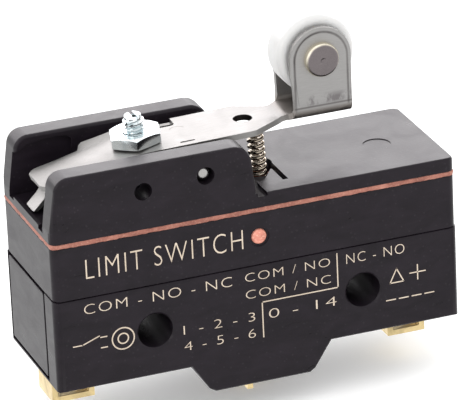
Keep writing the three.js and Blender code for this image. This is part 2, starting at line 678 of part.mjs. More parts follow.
function roller() {
  const half = ROLLER_W / 2;
  const bore = AXLE_R + RUNNING_GAP;
  const edge = 0.5;
  return turnedY([
    [bore, -half], [ROLLER_R - edge, -half], [ROLLER_R - 0.15, -half + 0.15], [ROLLER_R, -half + edge],
    [ROLLER_R, half - edge], [ROLLER_R - 0.15, half - 0.15], [ROLLER_R - edge, half], [bore, half],
    [bore, -half],
  ], ROLLER_AXIS.x, ROLLER_AXIS.z, 48);
}

function rollerRivet() {
  const face = BRACKET_HALF_W + 0.03;
  const headR = 2.03;
  return turnedY([
    [0, -face - 0.78], [0.28, -face - 0.78], [0.4, -face - 0.9], [headR - 0.35, -face - 0.9],
    [headR, -face - 0.55], [headR, -face], [AXLE_R, -face], [AXLE_R, face],
    [headR - 0.1, face], [headR - 0.1, face + 0.3], [headR - 0.7, face + 0.7], [0, face + 0.7],
  ], ROLLER_AXIS.x, ROLLER_AXIS.z, 32);
}

// ---------------------------------------------------------------- assembly
const onArm = new THREE.Group();
onArm.position.set(SCREW_X, 0, armTop(SCREW_X) + 0.08);
onArm.rotation.y = SCREW_TILT;
onArm.add(
  part('adjusting_screw', adjustingScrew(), ZINC()),
  part('lock_nut', lockNut(), ZINC()));

const limitSwitch = new THREE.Group();
limitSwitch.add(
  part('base_case', baseCase(), PHENOLIC()),
  part('end_plate', endPlate(), PHENOLIC()),
  part('case_cover', caseCover(), PHENOLIC()),
  part('vent_plug', ventPlug(), SEALANT()),
  part('gasket', gasketSheet(), SEALANT()),
  part('lever_housing', leverHousing(), PHENOLIC()),
  part('pivot_pin', pivotPin(), STEEL()),
  part('com_terminal', comTerminal(), BRASS()),
  part('no_terminal', noTerminal(), BRASS()),
  part('nc_terminal', ncTerminal(), BRASS()),
  part('snap_blade', snapBlade(), COPPER()),
  part('blade_clamp', bladeClamp(), BRASS()),
  part('blade_rivet', bladeRivet(), BRASS()),
  part('moving_contact', movingContact(), SILVER()),
  part('no_fixed_contact', fixedContact(NO_FACE, NO_FACE - HEAD.fixed), SILVER()),
  part('nc_fixed_contact', fixedContact(NC_FACE, NC_FACE + HEAD.fixed), SILVER()),
  part('plunger', plunger(), PHENOLIC()),
  part('plunger_seal', plungerSeal(), RUBBER()),
  part('lever', leverBody(), STEEL()),
  part('return_spring', returnSpring(), STEEL()),
  part('roller', roller(), NYLON()),
  part('roller_rivet', rollerRivet(), STEEL()),
  onArm);
// the model is drawn about its middle plane; the rear mounting face is y = 0
limitSwitch.position.y = -HALF_T;

export default limitSwitch;
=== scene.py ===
"""Looks of the limit switch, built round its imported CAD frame. Sizes are in millimetres about the
switch's middle plane, and finish_piece() puts a finished mesh into the row frame in metres."""

import math

import bmesh
import bpy
from mathutils import Matrix, Vector, noise
from mathutils.geometry import tessellate_polygon


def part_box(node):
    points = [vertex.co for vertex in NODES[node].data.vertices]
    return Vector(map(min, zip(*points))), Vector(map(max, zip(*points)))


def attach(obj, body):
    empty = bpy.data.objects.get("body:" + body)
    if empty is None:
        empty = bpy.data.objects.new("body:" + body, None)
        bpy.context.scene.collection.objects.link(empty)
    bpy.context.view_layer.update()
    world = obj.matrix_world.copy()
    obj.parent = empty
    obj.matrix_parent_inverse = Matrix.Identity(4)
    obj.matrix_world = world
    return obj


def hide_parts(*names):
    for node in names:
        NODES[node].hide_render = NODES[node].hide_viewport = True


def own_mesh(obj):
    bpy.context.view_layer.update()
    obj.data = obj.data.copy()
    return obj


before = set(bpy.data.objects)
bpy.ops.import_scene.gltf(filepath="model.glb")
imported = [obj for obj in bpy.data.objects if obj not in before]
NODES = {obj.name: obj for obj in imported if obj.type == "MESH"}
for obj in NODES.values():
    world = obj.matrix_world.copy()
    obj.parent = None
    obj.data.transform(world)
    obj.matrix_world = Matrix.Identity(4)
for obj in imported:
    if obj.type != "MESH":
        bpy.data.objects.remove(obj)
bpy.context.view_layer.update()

MM = 0.001
MID_Y = -8.725
TO_ROW = Matrix.Scale(MM, 4) @ Matrix.Translation((0, MID_Y, 0))
BASE_FACE = -8.725  # front faces of the base and of the cover
COVER_FACE = BASE_FACE + 0.1
CASE_R = 0.9  # corner radius of the mouldings seen from above
SHEET = 0.7  # thickness of the lever's steel
PIVOT = (-5.8, 17.75)
PIN_R = 0.9
EYE_X = 2.0  # round hole in the lever
EYE_R = 1.1
ROLLER_AXIS = (10.6, 27.08)
SCREW_X = -10.95
SCREW_TILT = math.radians(-5)


# ---------------------------------------------------------------- node materials
class Nodes:
    """Short way to write a material's node tree. Places are object coordinates in metres."""

    def __init__(self, name):
        self.material = bpy.data.materials.new(name)
        self.material.use_nodes = True
        self.tree = self.material.node_tree
        self.tree.nodes.clear()
        surface = self.tree.nodes.new("ShaderNodeOutputMaterial")
        self.shader = self.tree.nodes.new("ShaderNodeBsdfPrincipled")
        self.link(self.shader.outputs[0], surface.inputs[0])
        coordinates = self.tree.nodes.new("ShaderNodeTexCoord")
        self.place = coordinates.outputs["Object"]
        self.facing = coordinates.outputs["Normal"]

    def link(self, a, b):
        self.tree.links.new(a, b)

    def feed(self, socket, value):
        if isinstance(value, bpy.types.NodeSocket):
            self.link(value, socket)
        else:
            socket.default_value = value

    def scaled(self, x, y, z):
        """The position stretched by a factor along each axis."""
        node = self.tree.nodes.new("ShaderNodeMapping")
        self.link(self.place, node.inputs["Vector"])
        node.inputs["Scale"].default_value = (x, y, z)
        return node.outputs[0]

    def noise(self, scale, detail=3.0, roughness=0.55, vector=None, distortion=0.0):
        node = self.tree.nodes.new("ShaderNodeTexNoise")
        self.link(vector or self.place, node.inputs["Vector"])
        node.inputs["Scale"].default_value = scale
        node.inputs["Detail"].default_value = detail
        node.inputs["Roughness"].default_value = roughness
        node.inputs["Distortion"].default_value = distortion
        return node.outputs["Fac"]

    def cells(self, scale):
        node = self.tree.nodes.new("ShaderNodeTexVoronoi")
        self.link(self.place, node.inputs["Vector"])
        node.inputs["Scale"].default_value = scale
        return node.outputs["Distance"]

    def ramp(self, value, *stops):
        node = self.tree.nodes.new("ShaderNodeValToRGB")
        self.link(value, node.inputs[0])
        elements = node.color_ramp.elements
        while len(elements) < len(stops):
            elements.new(0.5)
        for element, (position, colour) in zip(elements, stops):
            element.position = position
            element.color = colour if len(colour) == 4 else (*colour, 1)
        return node.outputs[0]

    def levels(self, value, low, high, out_low=0.0, out_high=1.0):
        """A value stretched from one range to another and held at its ends."""
        node = self.tree.nodes.new("ShaderNodeMapRange")
        self.link(value, node.inputs["Value"])
        ends = {"From Min": low, "From Max": high, "To Min": out_low, "To Max": out_high}
        for name, number in ends.items():
            node.inputs[name].default_value = number
        return node.outputs[0]

    def mix(self, factor, a, b):
        node = self.tree.nodes.new("ShaderNodeMix")
        node.data_type = "RGBA"
        self.feed(node.inputs[0], factor)
        self.feed(node.inputs[6], a)
        self.feed(node.inputs[7], b)
        return node.outputs[2]

    def math(self, operation, a, b=0.0):
        node = self.tree.nodes.new("ShaderNodeMath")
        node.operation = operation
        self.feed(node.inputs[0], a)
        self.feed(node.inputs[1], b)
        return node.outputs[0]

    def product(self, *values):
        result = values[0]
        for value in values[1:]:
            result = self.math("MULTIPLY", result, value)
        return result

    def apart(self, value, mark):
        """Distance of a value from a mark, either way."""
        return self.math("ABSOLUTE", self.math("SUBTRACT", value, mark))

    def length(self, a, b):
        """Length of the vector with these two components."""
        total = self.math("ADD", self.math("POWER", a, 2.0), self.math("POWER", b, 2.0))
        return self.math("SQRT", total)

    def parts(self, vector=None):
        """The three coordinates of a vector as separate values."""
        node = self.tree.nodes.new("ShaderNodeSeparateXYZ")
        self.link(vector or self.place, node.inputs[0])
        return node.outputs

    def bump(self, height, strength, distance):
        node = self.tree.nodes.new("ShaderNodeBump")
        self.link(height, node.inputs["Height"])
        node.inputs["Strength"].default_value = strength
        node.inputs["Distance"].default_value = distance
        self.link(node.outputs[0], self.shader.inputs["Normal"])

    def set(self, **values):
        names = {
            "color": "Base Color", "rough": "Roughness", "metal": "Metallic", "ior": "IOR",
            "level": "Specular IOR Level", "sss": "Subsurface Weight", "sss_scale": "Subsurface Scale",
            "sss_radius": "Subsurface Radius",
        }
        for key, value in values.items():
            self.feed(self.shader.inputs[names[key]], value)


def toned(tint, gain):
    """A colour made darker or lighter."""
    return tuple(min(1.0, c * gain) for c in tint)


def phenolic():
    """Moulded black phenolic: faint flow marks, fine pitting, pale filler specks."""
    tint, speck_tint, rough = (0.0105, 0.0078, 0.0110), (0.075, 0.07, 0.075, 1), 0.31
    n = Nodes("phenolic")
    flow = n.noise(260, 4, 0.6, n.scaled(1, 1, 2.2), 0.6)
    fine = n.noise(2600, 3, 0.7)
    specks = n.levels(n.cells(1500), 0.05, 0.22, 1.0, 0.0)
    body = n.ramp(flow, (0.3, toned(tint, 0.8)), (0.7, toned(tint, 1.35)))
    body = n.mix(n.product(specks, 0.16), body, speck_tint)
    n.set(color=body, rough=n.levels(flow, 0.25, 0.75, rough - 0.05, rough + 0.07), ior=1.5, level=0.165)
    n.bump(n.mix(0.35, fine, flow), 0.22, 0.00004)
    return n.material


def sealant(name="sealant", gain=1.0):
    """Salmon gasket sheet: matt, mottled, with a grainy cut edge."""
    n = Nodes(name)
    patch = n.noise(420, 4, 0.65)
    grain = n.noise(3800, 3, 0.7)
    tones = [(0.25, (0.2, 0.07, 0.052)), (0.5, (0.31, 0.118, 0.086)), (0.75, (0.42, 0.18, 0.135))]
    body = n.ramp(patch, *[(stop, toned(tone, gain)) for stop, tone in tones])
    flecks = toned((0.56, 0.31, 0.23), gain)
    body = n.mix(n.levels(grain, 0.52, 0.7, 0.0, 0.5), body, (*flecks, 1))
    n.set(color=body, rough=n.levels(grain, 0.3, 0.7, 0.55, 0.8), level=0.35)
    n.bump(grain, 0.5, 0.00006)
    return n.material


def steel(name, tint, rough, along, details=None):
    """Bright steel: grain stretched along the axes, haze, small marks and, if given, more details."""
    n = Nodes(name)
    rolled = n.noise(900, 3, 0.6, n.scaled(*along))
    haze = n.noise(240, 4, 0.6, None, 0.8)
    both = n.math("ADD", n.product(rolled, 0.5), n.product(haze, 0.5))
    body = n.ramp(both, (0.36, toned(tint, 0.86)), (0.64, toned(tint, 1.1)))
    scratches = n.levels(n.noise(520, 2, 0.5, n.scaled(1.6, 26, 26)), 0.66, 0.72, 0.0, 0.3)
    body = n.mix(scratches, body, (0.30, 0.28, 0.27, 1))
    if details:
        body = details(n, body)
    n.set(color=body, metal=1.0, rough=n.levels(haze, 0.3, 0.7, rough - 0.06, rough + 0.09))
    n.bump(n.mix(0.4, rolled, haze), 0.16, 0.00003)
    return n.material


def lever_marks_and_painted_light(n, body):
    """Marks of the lever's tools and handling, with painted light on the ears and painted shade in its
    grooves, bends and hole, placed on its shape in metres.
    """
    x, y, z = n.parts()
    mid_y = MID_Y * MM
    groove_shade, blot, bend_shade, crease_shade, arc_shade, eye_shade = [(*tone, 1) for tone in (
        (0.09, 0.082, 0.08), (0.13, 0.115, 0.12), (0.25, 0.215, 0.19), (0.10, 0.088, 0.085),
        (0.15, 0.14, 0.13), (0.03, 0.026, 0.024))]

    # painted light: the outer faces of the roller ears are painted paler than the rest of the sheet,
    # with a dark line of painted shade in the coined groove inside their edge
    outside = n.levels(n.apart(y, mid_y), 0.00305, 0.0032)
    on_ear = n.product(outside, n.levels(z, 0.0209, 0.0213))
    body = n.mix(n.product(on_ear, 0.32), body, (0.50, 0.49, 0.485, 1))
    axle_x, axle_z = ROLLER_AXIS[0] * MM, ROLLER_AXIS[1] * MM
    above_axle = n.math("MAXIMUM", n.math("SUBTRACT", z, axle_z), 0.0)
    reach = n.length(n.apart(x, axle_x), above_axle)
    line = n.levels(n.apart(reach, 0.00322), 0.00005, 0.0002, 1.0, 0.0)
    wander = n.levels(n.noise(500, 3), 0.3, 0.7, 0.45, 0.85)
    # painted shade: a dark line where the coined groove would hold shade
    body = n.mix(n.product(line, on_ear, wander), body, groove_shade)

    # blotted die marks low on the ears
    low = n.product(n.levels(z, 0.0214, 0.0218), n.levels(z, 0.0230, 0.0223))
    blots = n.levels(n.noise(520, 4, 0.7, n.scaled(1.0, 1.0, 0.55)), 0.44, 0.56, 0.0, 0.7)
    body = n.mix(n.product(low, blots, outside), body, blot)

    # painted shade: the bracket's floor and bends are painted a darker warm tone, with a dark crease
    # line of painted shade on the ears above them
    bends = n.product(n.levels(z, 0.0213, 0.0207), n.levels(x, 0.0058, 0.0072))
    body = n.mix(n.product(bends, 0.6), body, bend_shade)
    # painted shade: a dark line along the crease on the ears' outer faces
    crease = n.levels(n.apart(z, 0.0214), 0.00004, 0.00016, 0.7, 0.0)
    body = n.mix(n.product(crease, outside), body, crease_shade)

    # painted shade: a dark stamped arc over the pivot, with no depth in the mesh
    arc_x, arc_y = n.math("SUBTRACT", x, -0.0057), n.math("SUBTRACT", y, mid_y + 0.0006)
    from_arc = n.apart(n.length(arc_x, arc_y), 0.0009)
    stamped = n.product(n.levels(from_arc, 0.00003, 0.00014, 0.75, 0.0), n.levels(arc_y, 0.0002, 0.0004))
    body = n.mix(stamped, body, arc_shade)

    # painted shade: the wall of the round hole is painted near black
    from_eye = n.length(n.math("SUBTRACT", x, EYE_X * MM), n.math("SUBTRACT", y, mid_y))
    return n.mix(n.levels(from_eye, 0.00111, 0.00118, 1.0, 0.0), body, eye_shade)


def rivet_face_and_flank_highlight(n, body):
    """Grey struck face; the flank is painted bright and warm as a painted highlight."""
    across = n.math("ABSOLUTE", n.parts(n.facing)[1])
    return n.mix(n.levels(across, 0.45, 0.8, 1.0, 0.0), body, (0.80, 0.74, 0.60, 1))


def zinc():
    """Bright zinc plate: cool, slightly cloudy, fine crystalline bloom."""
    n = Nodes("zinc")
    bloom = n.cells(1700)
    cloud = n.noise(500, 4, 0.6, None, 0.5)
    tones = [(0.3, (0.62, 0.68, 0.70)), (0.55, (0.78, 0.82, 0.83)), (0.75, (0.86, 0.88, 0.86))]
    body = n.ramp(cloud, *tones)
    n.set(color=body, metal=1.0, rough=n.levels(cloud, 0.3, 0.7, 0.1, 0.2))
    n.bump(n.mix(0.5, bloom, cloud), 0.08, 0.00002)
    return n.material


def brass(name, tint, rough):
    """Plain brass or bronze sheet, a little dulled, with darker tarnish in patches."""
    n = Nodes(name)
    tarnish = n.noise(380, 5, 0.65, None, 0.7)
    rolled = n.noise(800, 3, 0.6, n.scaled(12, 1, 12))
    body = n.ramp(tarnish, (0.3, toned(tint, 0.62)), (0.55, tint), (0.8, toned(tint, 1.2)))
    n.set(color=body, metal=1.0, rough=n.levels(tarnish, 0.3, 0.7, rough + 0.12, rough - 0.05))
    n.bump(n.mix(0.5, rolled, tarnish), 0.2, 0.00004)
    return n.material


def silver():
    """Silver contact alloy: pale with a soft matt skin and grey arc freckles."""
    n = Nodes("silver")
    skin = n.noise(1500, 4, 0.6)
    freckle = n.levels(n.noise(3000, 2), 0.6, 0.7, 0.0, 0.5)
    body = n.ramp(skin, (0.3, (0.62, 0.61, 0.6)), (0.7, (0.85, 0.84, 0.82)))
    body = n.mix(freckle, body, (0.3, 0.29, 0.3, 1))
    n.set(color=body, metal=1.0, rough=n.levels(skin, 0.3, 0.7, 0.28, 0.42))
    n.bump(skin, 0.2, 0.00003)
    return n.material


def nylon():
    """White moulded nylon: milky, softly glossy, with a trace of grey handling marks."""
    n = Nodes("nylon")
    cloud = n.noise(300, 4, 0.6)
    scuff = n.levels(n.noise(700, 3, 0.6, n.scaled(1, 9, 1)), 0.6, 0.72, 0.0, 0.25)
    body = n.ramp(cloud, (0.3, (0.56, 0.556, 0.55)), (0.7, (0.63, 0.628, 0.62)))
    body = n.mix(scuff, body, (0.46, 0.45, 0.44, 1))
    n.set(color=body, rough=n.levels(cloud, 0.3, 0.7, 0.3, 0.42), sss=0.18, sss_scale=0.0012,
          sss_radius=(1.0, 0.9, 0.8), level=0.5)
    n.bump(n.noise(2400, 3), 0.1, 0.00003)
    return n.material


def rubber():
    """Black rubber, matt and fine-grained."""
    n = Nodes("rubber")
    grain = n.noise(3000, 3)
    body = n.ramp(grain, (0.3, (0.012, 0.012, 0.013)), (0.7, (0.026, 0.026, 0.028)))
    n.set(color=body, rough=n.levels(grain, 0.3, 0.7, 0.6, 0.8))
    n.bump(grain, 0.3, 0.00004)
    return n.material


def ink():
    """Pale printing ink: thin, a little broken where the moulding shows through."""
    n = Nodes("ink")
    wear = n.noise(3600, 3, 0.7)
    cloud = n.noise(500, 3)
    body = n.ramp(cloud, (0.3, (0.50, 0.41, 0.32)), (0.7, (0.66, 0.56, 0.45)))
    body = n.mix(n.levels(wear, 0.62, 0.74, 0.0, 0.65), body, (0.06, 0.05, 0.048, 1))
    n.set(color=body, rough=n.levels(wear, 0.3, 0.7, 0.5, 0.7), level=0.3)
    n.bump(wear, 0.25, 0.00002)
    return n.material


MATERIALS = {
    "phenolic": phenolic(),
    "sealant": sealant(),
    "steel": steel("steel", (0.283, 0.277, 0.270), 0.5, (1, 14, 14), lever_marks_and_painted_light),
    "zinc": zinc(),
    "brass": brass("brass", (0.66, 0.52, 0.27), 0.3),
    "copper_alloy": brass("copper_alloy", (0.60, 0.33, 0.19), 0.28),
    "silver": silver(),
    "nylon": nylon(),
    "rubber": rubber(),
    "spring_wire": steel("spring_wire", (0.36, 0.31, 0.25), 0.13, (6, 6, 6)),
}
INK = ink()
POTTING = sealant("potting", 2.1)
RIVET_STEEL = steel("rivet_steel", (0.17, 0.15, 0.153), 0.3, (8, 8, 8), rivet_face_and_flank_highlight)
PIN_STEEL = steel("pin_steel", (0.42, 0.41, 0.40), 0.25, (8, 8, 8))


# ---------------------------------------------------------------- mesh helpers
def finish_piece(name, mesh, body, slot, *cad_nodes, material=None):
    """Puts a mesh drawn in millimetres into the row frame as a piece of a CAD body."""
    mesh.transform(TO_ROW)
    piece = bpy.data.objects.new(name, mesh)
    bpy.context.scene.collection.objects.link(piece)
    mesh.materials.clear()
    mesh.materials.append(material or MATERIALS[slot])
    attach(piece, body)
    if cad_nodes:
        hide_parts(*cad_nodes)
    return piece


def to_mesh(name, bm):
    mesh = bpy.data.meshes.new(name)
    bm.normal_update()
    bm.to_mesh(mesh)
    bm.free()
    return mesh


def smoothed(mesh, degrees=38):
    """Smooth shading, with creases sharper than the angle kept."""
    mesh.polygons.foreach_set("use_smooth", [True] * len(mesh.polygons))
    if hasattr(mesh, "set_sharp_from_angle"):
        mesh.set_sharp_from_angle(angle=math.radians(degrees))
    return mesh


def applied(mesh, *modifiers):
    """The mesh after these modifiers, each given as (type, {setting: value})."""
    holder = bpy.data.objects.new("work", mesh)
    bpy.context.scene.collection.objects.link(holder)
    for kind, settings in modifiers:
        modifier = holder.modifiers.new(kind.lower(), kind)
        for key, value in settings.items():
            setattr(modifier, key, value)
    depsgraph = bpy.context.evaluated_depsgraph_get()
    result = bpy.data.meshes.new_from_object(holder.evaluated_get(depsgraph))
    bpy.data.objects.remove(holder)
    return result


def lathe(profile, steps=64, axis="Y", at=(0, 0, 0)):
    """A closed turned solid. The profile is [radius, distance along the axis]."""
    bm = bmesh.new()
    rings = []
    for r, h in profile:
        ring = []
        for k in range(1 if r < 1e-6 else steps):
            a = 2 * math.pi * k / steps
            c, s = r * math.cos(a), r * math.sin(a)
            point = (c, h, s) if axis == "Y" else (c, s, h)
            ring.append(bm.verts.new(Vector(point) + Vector(at)))
        rings.append(ring)
    first = rings[:1] if profile[0][0] > 1e-6 else []
    for low, high in zip(rings, rings[1:] + first):
        for k in range(steps):
            n = k + 1
            quad = [low[k % len(low)], low[n % len(low)], high[n % len(high)], high[k % len(high)]]
            corners = list(dict.fromkeys(quad))
            if len(corners) > 2:
                bm.faces.new(corners)
    bmesh.ops.recalc_face_normals(bm, faces=bm.faces)
    return bm


def arc(cx, cy, r, start, end, steps):
    """Points on an arc, angles in degrees."""
    return [
        (cx + r * math.cos(math.radians(start + (end - start) * k / steps)),
         cy + r * math.sin(math.radians(start + (end - start) * k / steps)))
        for k in range(steps + 1)
    ]


def bridged(bm, rings):
    """Joins each closed ring of vertices to the next with a band of faces."""
    for low, high in zip(rings, rings[1:]):
        for k in range(len(low)):
            n = (k + 1) % len(low)
            bm.faces.new([low[k], low[n], high[n], high[k]])


def sheet_metal(outline, holes, bend, thickness, cuts_x, cuts_y, edge=0.07):
    """A flat blank with holes, cut on a grid, bent by bend(x, u) -> (point, up), then thickened."""
    loops = [[Vector((x, y, 0)) for x, y in loop] for loop in [outline, *holes]]
    points = [p for loop in loops for p in loop]
    bm = bmesh.new()
    flat = [bm.verts.new(p) for p in points]
    for triangle in tessellate_polygon(loops):
        bm.faces.new([flat[i] for i in triangle])
    bmesh.ops.recalc_face_normals(bm, faces=bm.faces)
    if bm.faces[:] and sum(f.normal.z for f in bm.faces) < 0:
        bmesh.ops.reverse_faces(bm, faces=bm.faces)
    bmesh.ops.dissolve_limit(bm, angle_limit=0.01, verts=bm.verts, edges=bm.edges)
    for axis, values in ((0, cuts_x), (1, cuts_y)):
        normal = Vector((1, 0, 0)) if axis == 0 else Vector((0, 1, 0))
        for value in values:
            everything = bm.verts[:] + bm.edges[:] + bm.faces[:]
            bmesh.ops.bisect_plane(
                bm, geom=everything, dist=1e-5, plane_co=normal * value, plane_no=normal)
    bmesh.ops.triangulate(bm, faces=[f for f in bm.faces if len(f.verts) > 4])
    top = {v: bend(v.co.x, v.co.y) for v in bm.verts}
    rim = [e for e in bm.edges if len(e.link_faces) == 1]
    upper = list(bm.faces)
    lower = {v: bm.verts.new(top[v][0] - top[v][1] * thickness) for v in list(bm.verts)}
    for face in upper:
        bm.faces.new([lower[v] for v in reversed(face.verts)])
    for e in rim:
        a, b = e.verts
        if e.link_loops[0].vert is not a:
            a, b = b, a
        bm.faces.new([b, a, lower[a], lower[b]])
    for v, (point, _) in top.items():
        v.co = point
    bm.normal_update()
    sharp = math.radians(60)
    corners = [e for e in bm.edges if len(e.link_faces) == 2 and e.calc_face_angle(0) > sharp]
    bmesh.ops.bevel(
        bm, geom=corners, offset=edge, segments=2, profile=0.5, affect="EDGES", clamp_overlap=True)
    return bm


def smoothstep(x, low, high):
    """0 below low, 1 above high and a soft rise between them."""
    t = min(1.0, max(0.0, (x - low) / (high - low)))
    return t * t * (3 - 2 * t)


def lerp(a, b, t):
    return a + (b - a) * t


def steps(start, end, size):
    """Evenly spaced values from start to end, about a size apart."""
    count = max(1, round((end - start) / size))
    return [start + (end - start) * k / count for k in range(count + 1)]


def softened(name, slot, width):
    """A CAD moulding with its hard edges rounded over and its shading smoothed."""
    bm = bmesh.new()
    bm.from_mesh(NODES[name].data)
    bmesh.ops.transform(bm, matrix=TO_ROW.inverted(), verts=bm.verts)
    bmesh.ops.remove_doubles(bm, verts=bm.verts, dist=0.004)
    bmesh.ops.dissolve_limit(
        bm, angle_limit=math.radians(0.5), verts=bm.verts, edges=bm.edges, use_dissolve_boundaries=False)
    rounding = {
        "width": width, "segments": 2, "limit_method": "ANGLE", "angle_limit": math.radians(55),
        "use_clamp_overlap": True, "miter_outer": "MITER_ARC",
    }
    mesh = applied(to_mesh(name + "_piece", bm), ("BEVEL", rounding))
    smoothed(mesh, 40)
    mesh = applied(mesh, ("WEIGHTED_NORMAL", {"keep_sharp": True, "weight": 60}))
    finish_piece(name + "_piece", mesh, "case", slot, name)


# ---------------------------------------------------------------- mouldings and terminals
softened("base_case", "phenolic", 0.1)
softened("case_cover", "phenolic", 0.06)
softened("lever_housing", "phenolic", 0.12)
softened("end_plate", "phenolic", 0.08)
softened("com_terminal", "brass", 0.06)
softened("no_terminal", "brass", 0.06)
softened("nc_terminal", "brass", 0.06)


def divided(start, end, size):
    """Points between two ends, about a size apart, without the ends."""
    (ax, ay), (bx, by) = start, end
    count = int(math.hypot(bx - ax, by - ay) / size)
    return [(lerp(ax, bx, k / count), lerp(ay, by, k / count)) for k in range(1, count)]


def gasket():
    """Sheet squeezed between the mouldings, with a torn, slightly uneven edge all round."""
    (x0, y0, z0), (x1, y1, z1) = [TO_ROW.inverted() @ Vector(c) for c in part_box("gasket")]
    left, right, front, rear = x0 + CASE_R, x1 - CASE_R, y0 + CASE_R, y1 - CASE_R
    spacing, inner, tear, swell, overlap = 0.3, 0.4, 0.07, 0.09, 0.02
    path = []
    for cx, cy, start in ((right, front, -90), (right, rear, 0), (left, rear, 90), (left, front, 180)):
        corner = arc(cx, cy, CASE_R, start, start + 90, 6)
        if path:
            path += divided(path[-1], corner[0], spacing)
        path += corner
    path += divided(path[-1], path[0], spacing)

    section = [(0.5, 0.0), (0.1, 0.0), (0.03, 0.2), (0.0, 0.5), (0.03, 0.8), (0.1, 1.0), (0.5, 1.0)]
    bm = bmesh.new()
    rings = []
    for inset, share in section:
        ring = []
        for x, y in path:
            coarse = noise.noise(Vector((x * 1.7, y * 1.7, share * 2)))
            ragged = coarse + 0.6 * noise.noise(Vector((x, y, share)) * 5.1)
            out = -inset + (tear * ragged if inset < inner else 0)
            lift = swell * noise.noise(Vector((x, y, 9.0)) * 1.9) * (1 if share > 0.5 else -0.6)
            z = lerp(z0 - overlap, z1 + overlap, share) + (lift if inset < inner and share != 0.5 else 0)
            core = Vector((max(left, min(x, right)), max(front, min(y, rear)), 0))
            outward = (Vector((x, y, 0)) - core).normalized()
            ring.append(bm.verts.new((x + outward.x * out, y + outward.y * out, z)))
        rings.append(ring)
    bridged(bm, rings)
    bm.faces.new(list(reversed(rings[0])))
    bm.faces.new(rings[-1])
    bmesh.ops.recalc_face_normals(bm, faces=bm.faces)
    return to_mesh("gasket_piece", bm)


finish_piece("gasket_piece", smoothed(gasket(), 60), "case", "sealant", "gasket")


# ---------------------------------------------------------------- lever
ARM_X0 = -23.3
BRACKET_X1, BRACKET_Z, BRACKET_W = 14.3, 19.87, 3.25
FLOOR_TOP = BRACKET_Z + SHEET  # upper surface of the bracket's floor
NECK_START, NECK_X, NECK_END = 2.1, 5.8, 6.7
NOSE_R, WAIST_R, WIDEST_R, NECK_R = 2.9, 3.35, 4.1, 1.95
NOTCH_X0, NOTCH_X1 = -9.0, -5.4


def arm_top(x):
    """Height of the lever's upper surface on its centre line."""
    if x > 5.2:
        return 20.22 + (FLOOR_TOP - 20.22) * smoothstep(x, 5.2, 6.9)
    if x > -9:
        return 19.9 + (x + 9) * 0.0225
    t = -9 - x
    return 19.9 - 0.06 * t - 0.0096 * t * t + 0.3 * smoothstep(t, 10, 14.3)


def arm_half_width(x):
    """Half-width of the pressed plate along its length."""
    tip = x - ARM_X0
    if tip < 1.2:
        return NOSE_R * math.sqrt(1 - ((1.2 - tip) / 1.55) ** 2)
    if x < -13:
        return lerp(NOSE_R, WAIST_R, (tip - 1.2) / (-13 - ARM_X0 - 1.2))
    if x < NECK_START:
        return lerp(WAIST_R, WIDEST_R, smoothstep(x, -13, -8.6))
    if x < NECK_X:
        return lerp(WIDEST_R, NECK_R, (x - NECK_START) / (NECK_X - NECK_START))
    return lerp(NECK_R, 2.2, smoothstep(x, NECK_X, 7.0))


def rear_half_width(x):
    """The rear edge steps out to a flange alongside the nut."""
    if x > -5:
        return arm_half_width(x)
    return max(arm_half_width(x), lerp(0, WIDEST_R, smoothstep(x, -17.2, -16.5)))


def arm_surface(x, y):
    """The plate of the lever: its left arm droops and is crowned, and its rear flange turns up."""
    def height(a, b):
        across = min(abs(b), 3.3) / 3.2
        crown = 0.32 * smoothstep(-a, 9, 15) * across * across
        along = smoothstep(a, -17.2, -16.2) * (1 - smoothstep(a, -9.6, -8.8))
        return arm_top(a) - crown + along * 0.3 * max(0.0, b - 2.75)

    d = 0.05
    slope_x = (height(x + d, y) - height(x - d, y)) / (2 * d)
    slope_y = (height(x, y + d) - height(x, y - d)) / (2 * d)
    return Vector((x, y, height(x, y))), Vector((-slope_x, -slope_y, 1)).normalized()


R_OUT = 1.2
R_IN = R_OUT - SHEET
EAR_FLAT = BRACKET_W - R_OUT
EAR_BEND = math.pi / 2 * R_IN
EAR_R = 3.72
BORE_R = 1.34
EAR_CENTRE = ROLLER_AXIS[1] - (FLOOR_TOP + R_IN) + EAR_FLAT + EAR_BEND


def bracket_surface(x, u):
    """The blank of the roller bracket: its middle stays flat and each side turns up into an ear."""
    side = 1 if u > 0 else -1
    s = abs(u)
    if s <= EAR_FLAT:
        return Vector((x, u, FLOOR_TOP)), Vector((0, 0, 1))
    if s <= EAR_FLAT + EAR_BEND:
        a = (s - EAR_FLAT) / R_IN
        out, rise = EAR_FLAT + R_IN * math.sin(a), R_IN - R_IN * math.cos(a)
        point = Vector((x, side * out, FLOOR_TOP + rise))
        return point, Vector((0, -side * math.sin(a), math.cos(a)))
    up = FLOOR_TOP + R_IN + s - EAR_FLAT - EAR_BEND
    return Vector((x, side * (EAR_FLAT + R_IN), up)), Vector((0, -side, 0))


def lever_surface(x, y):
    """The plate passes into the bracket's blank over a short length of the neck."""
    share = 1.0 if x > 6.9 else smoothstep(x, 6.3, 6.9)
    if share >= 1:
        return bracket_surface(x, y)
    if share <= 0:
        return arm_surface(x, y)
    (p, n), (q, m) = arm_surface(x, y), bracket_surface(x, y)
    return p.lerp(q, share), n.lerp(m, share).normalized()


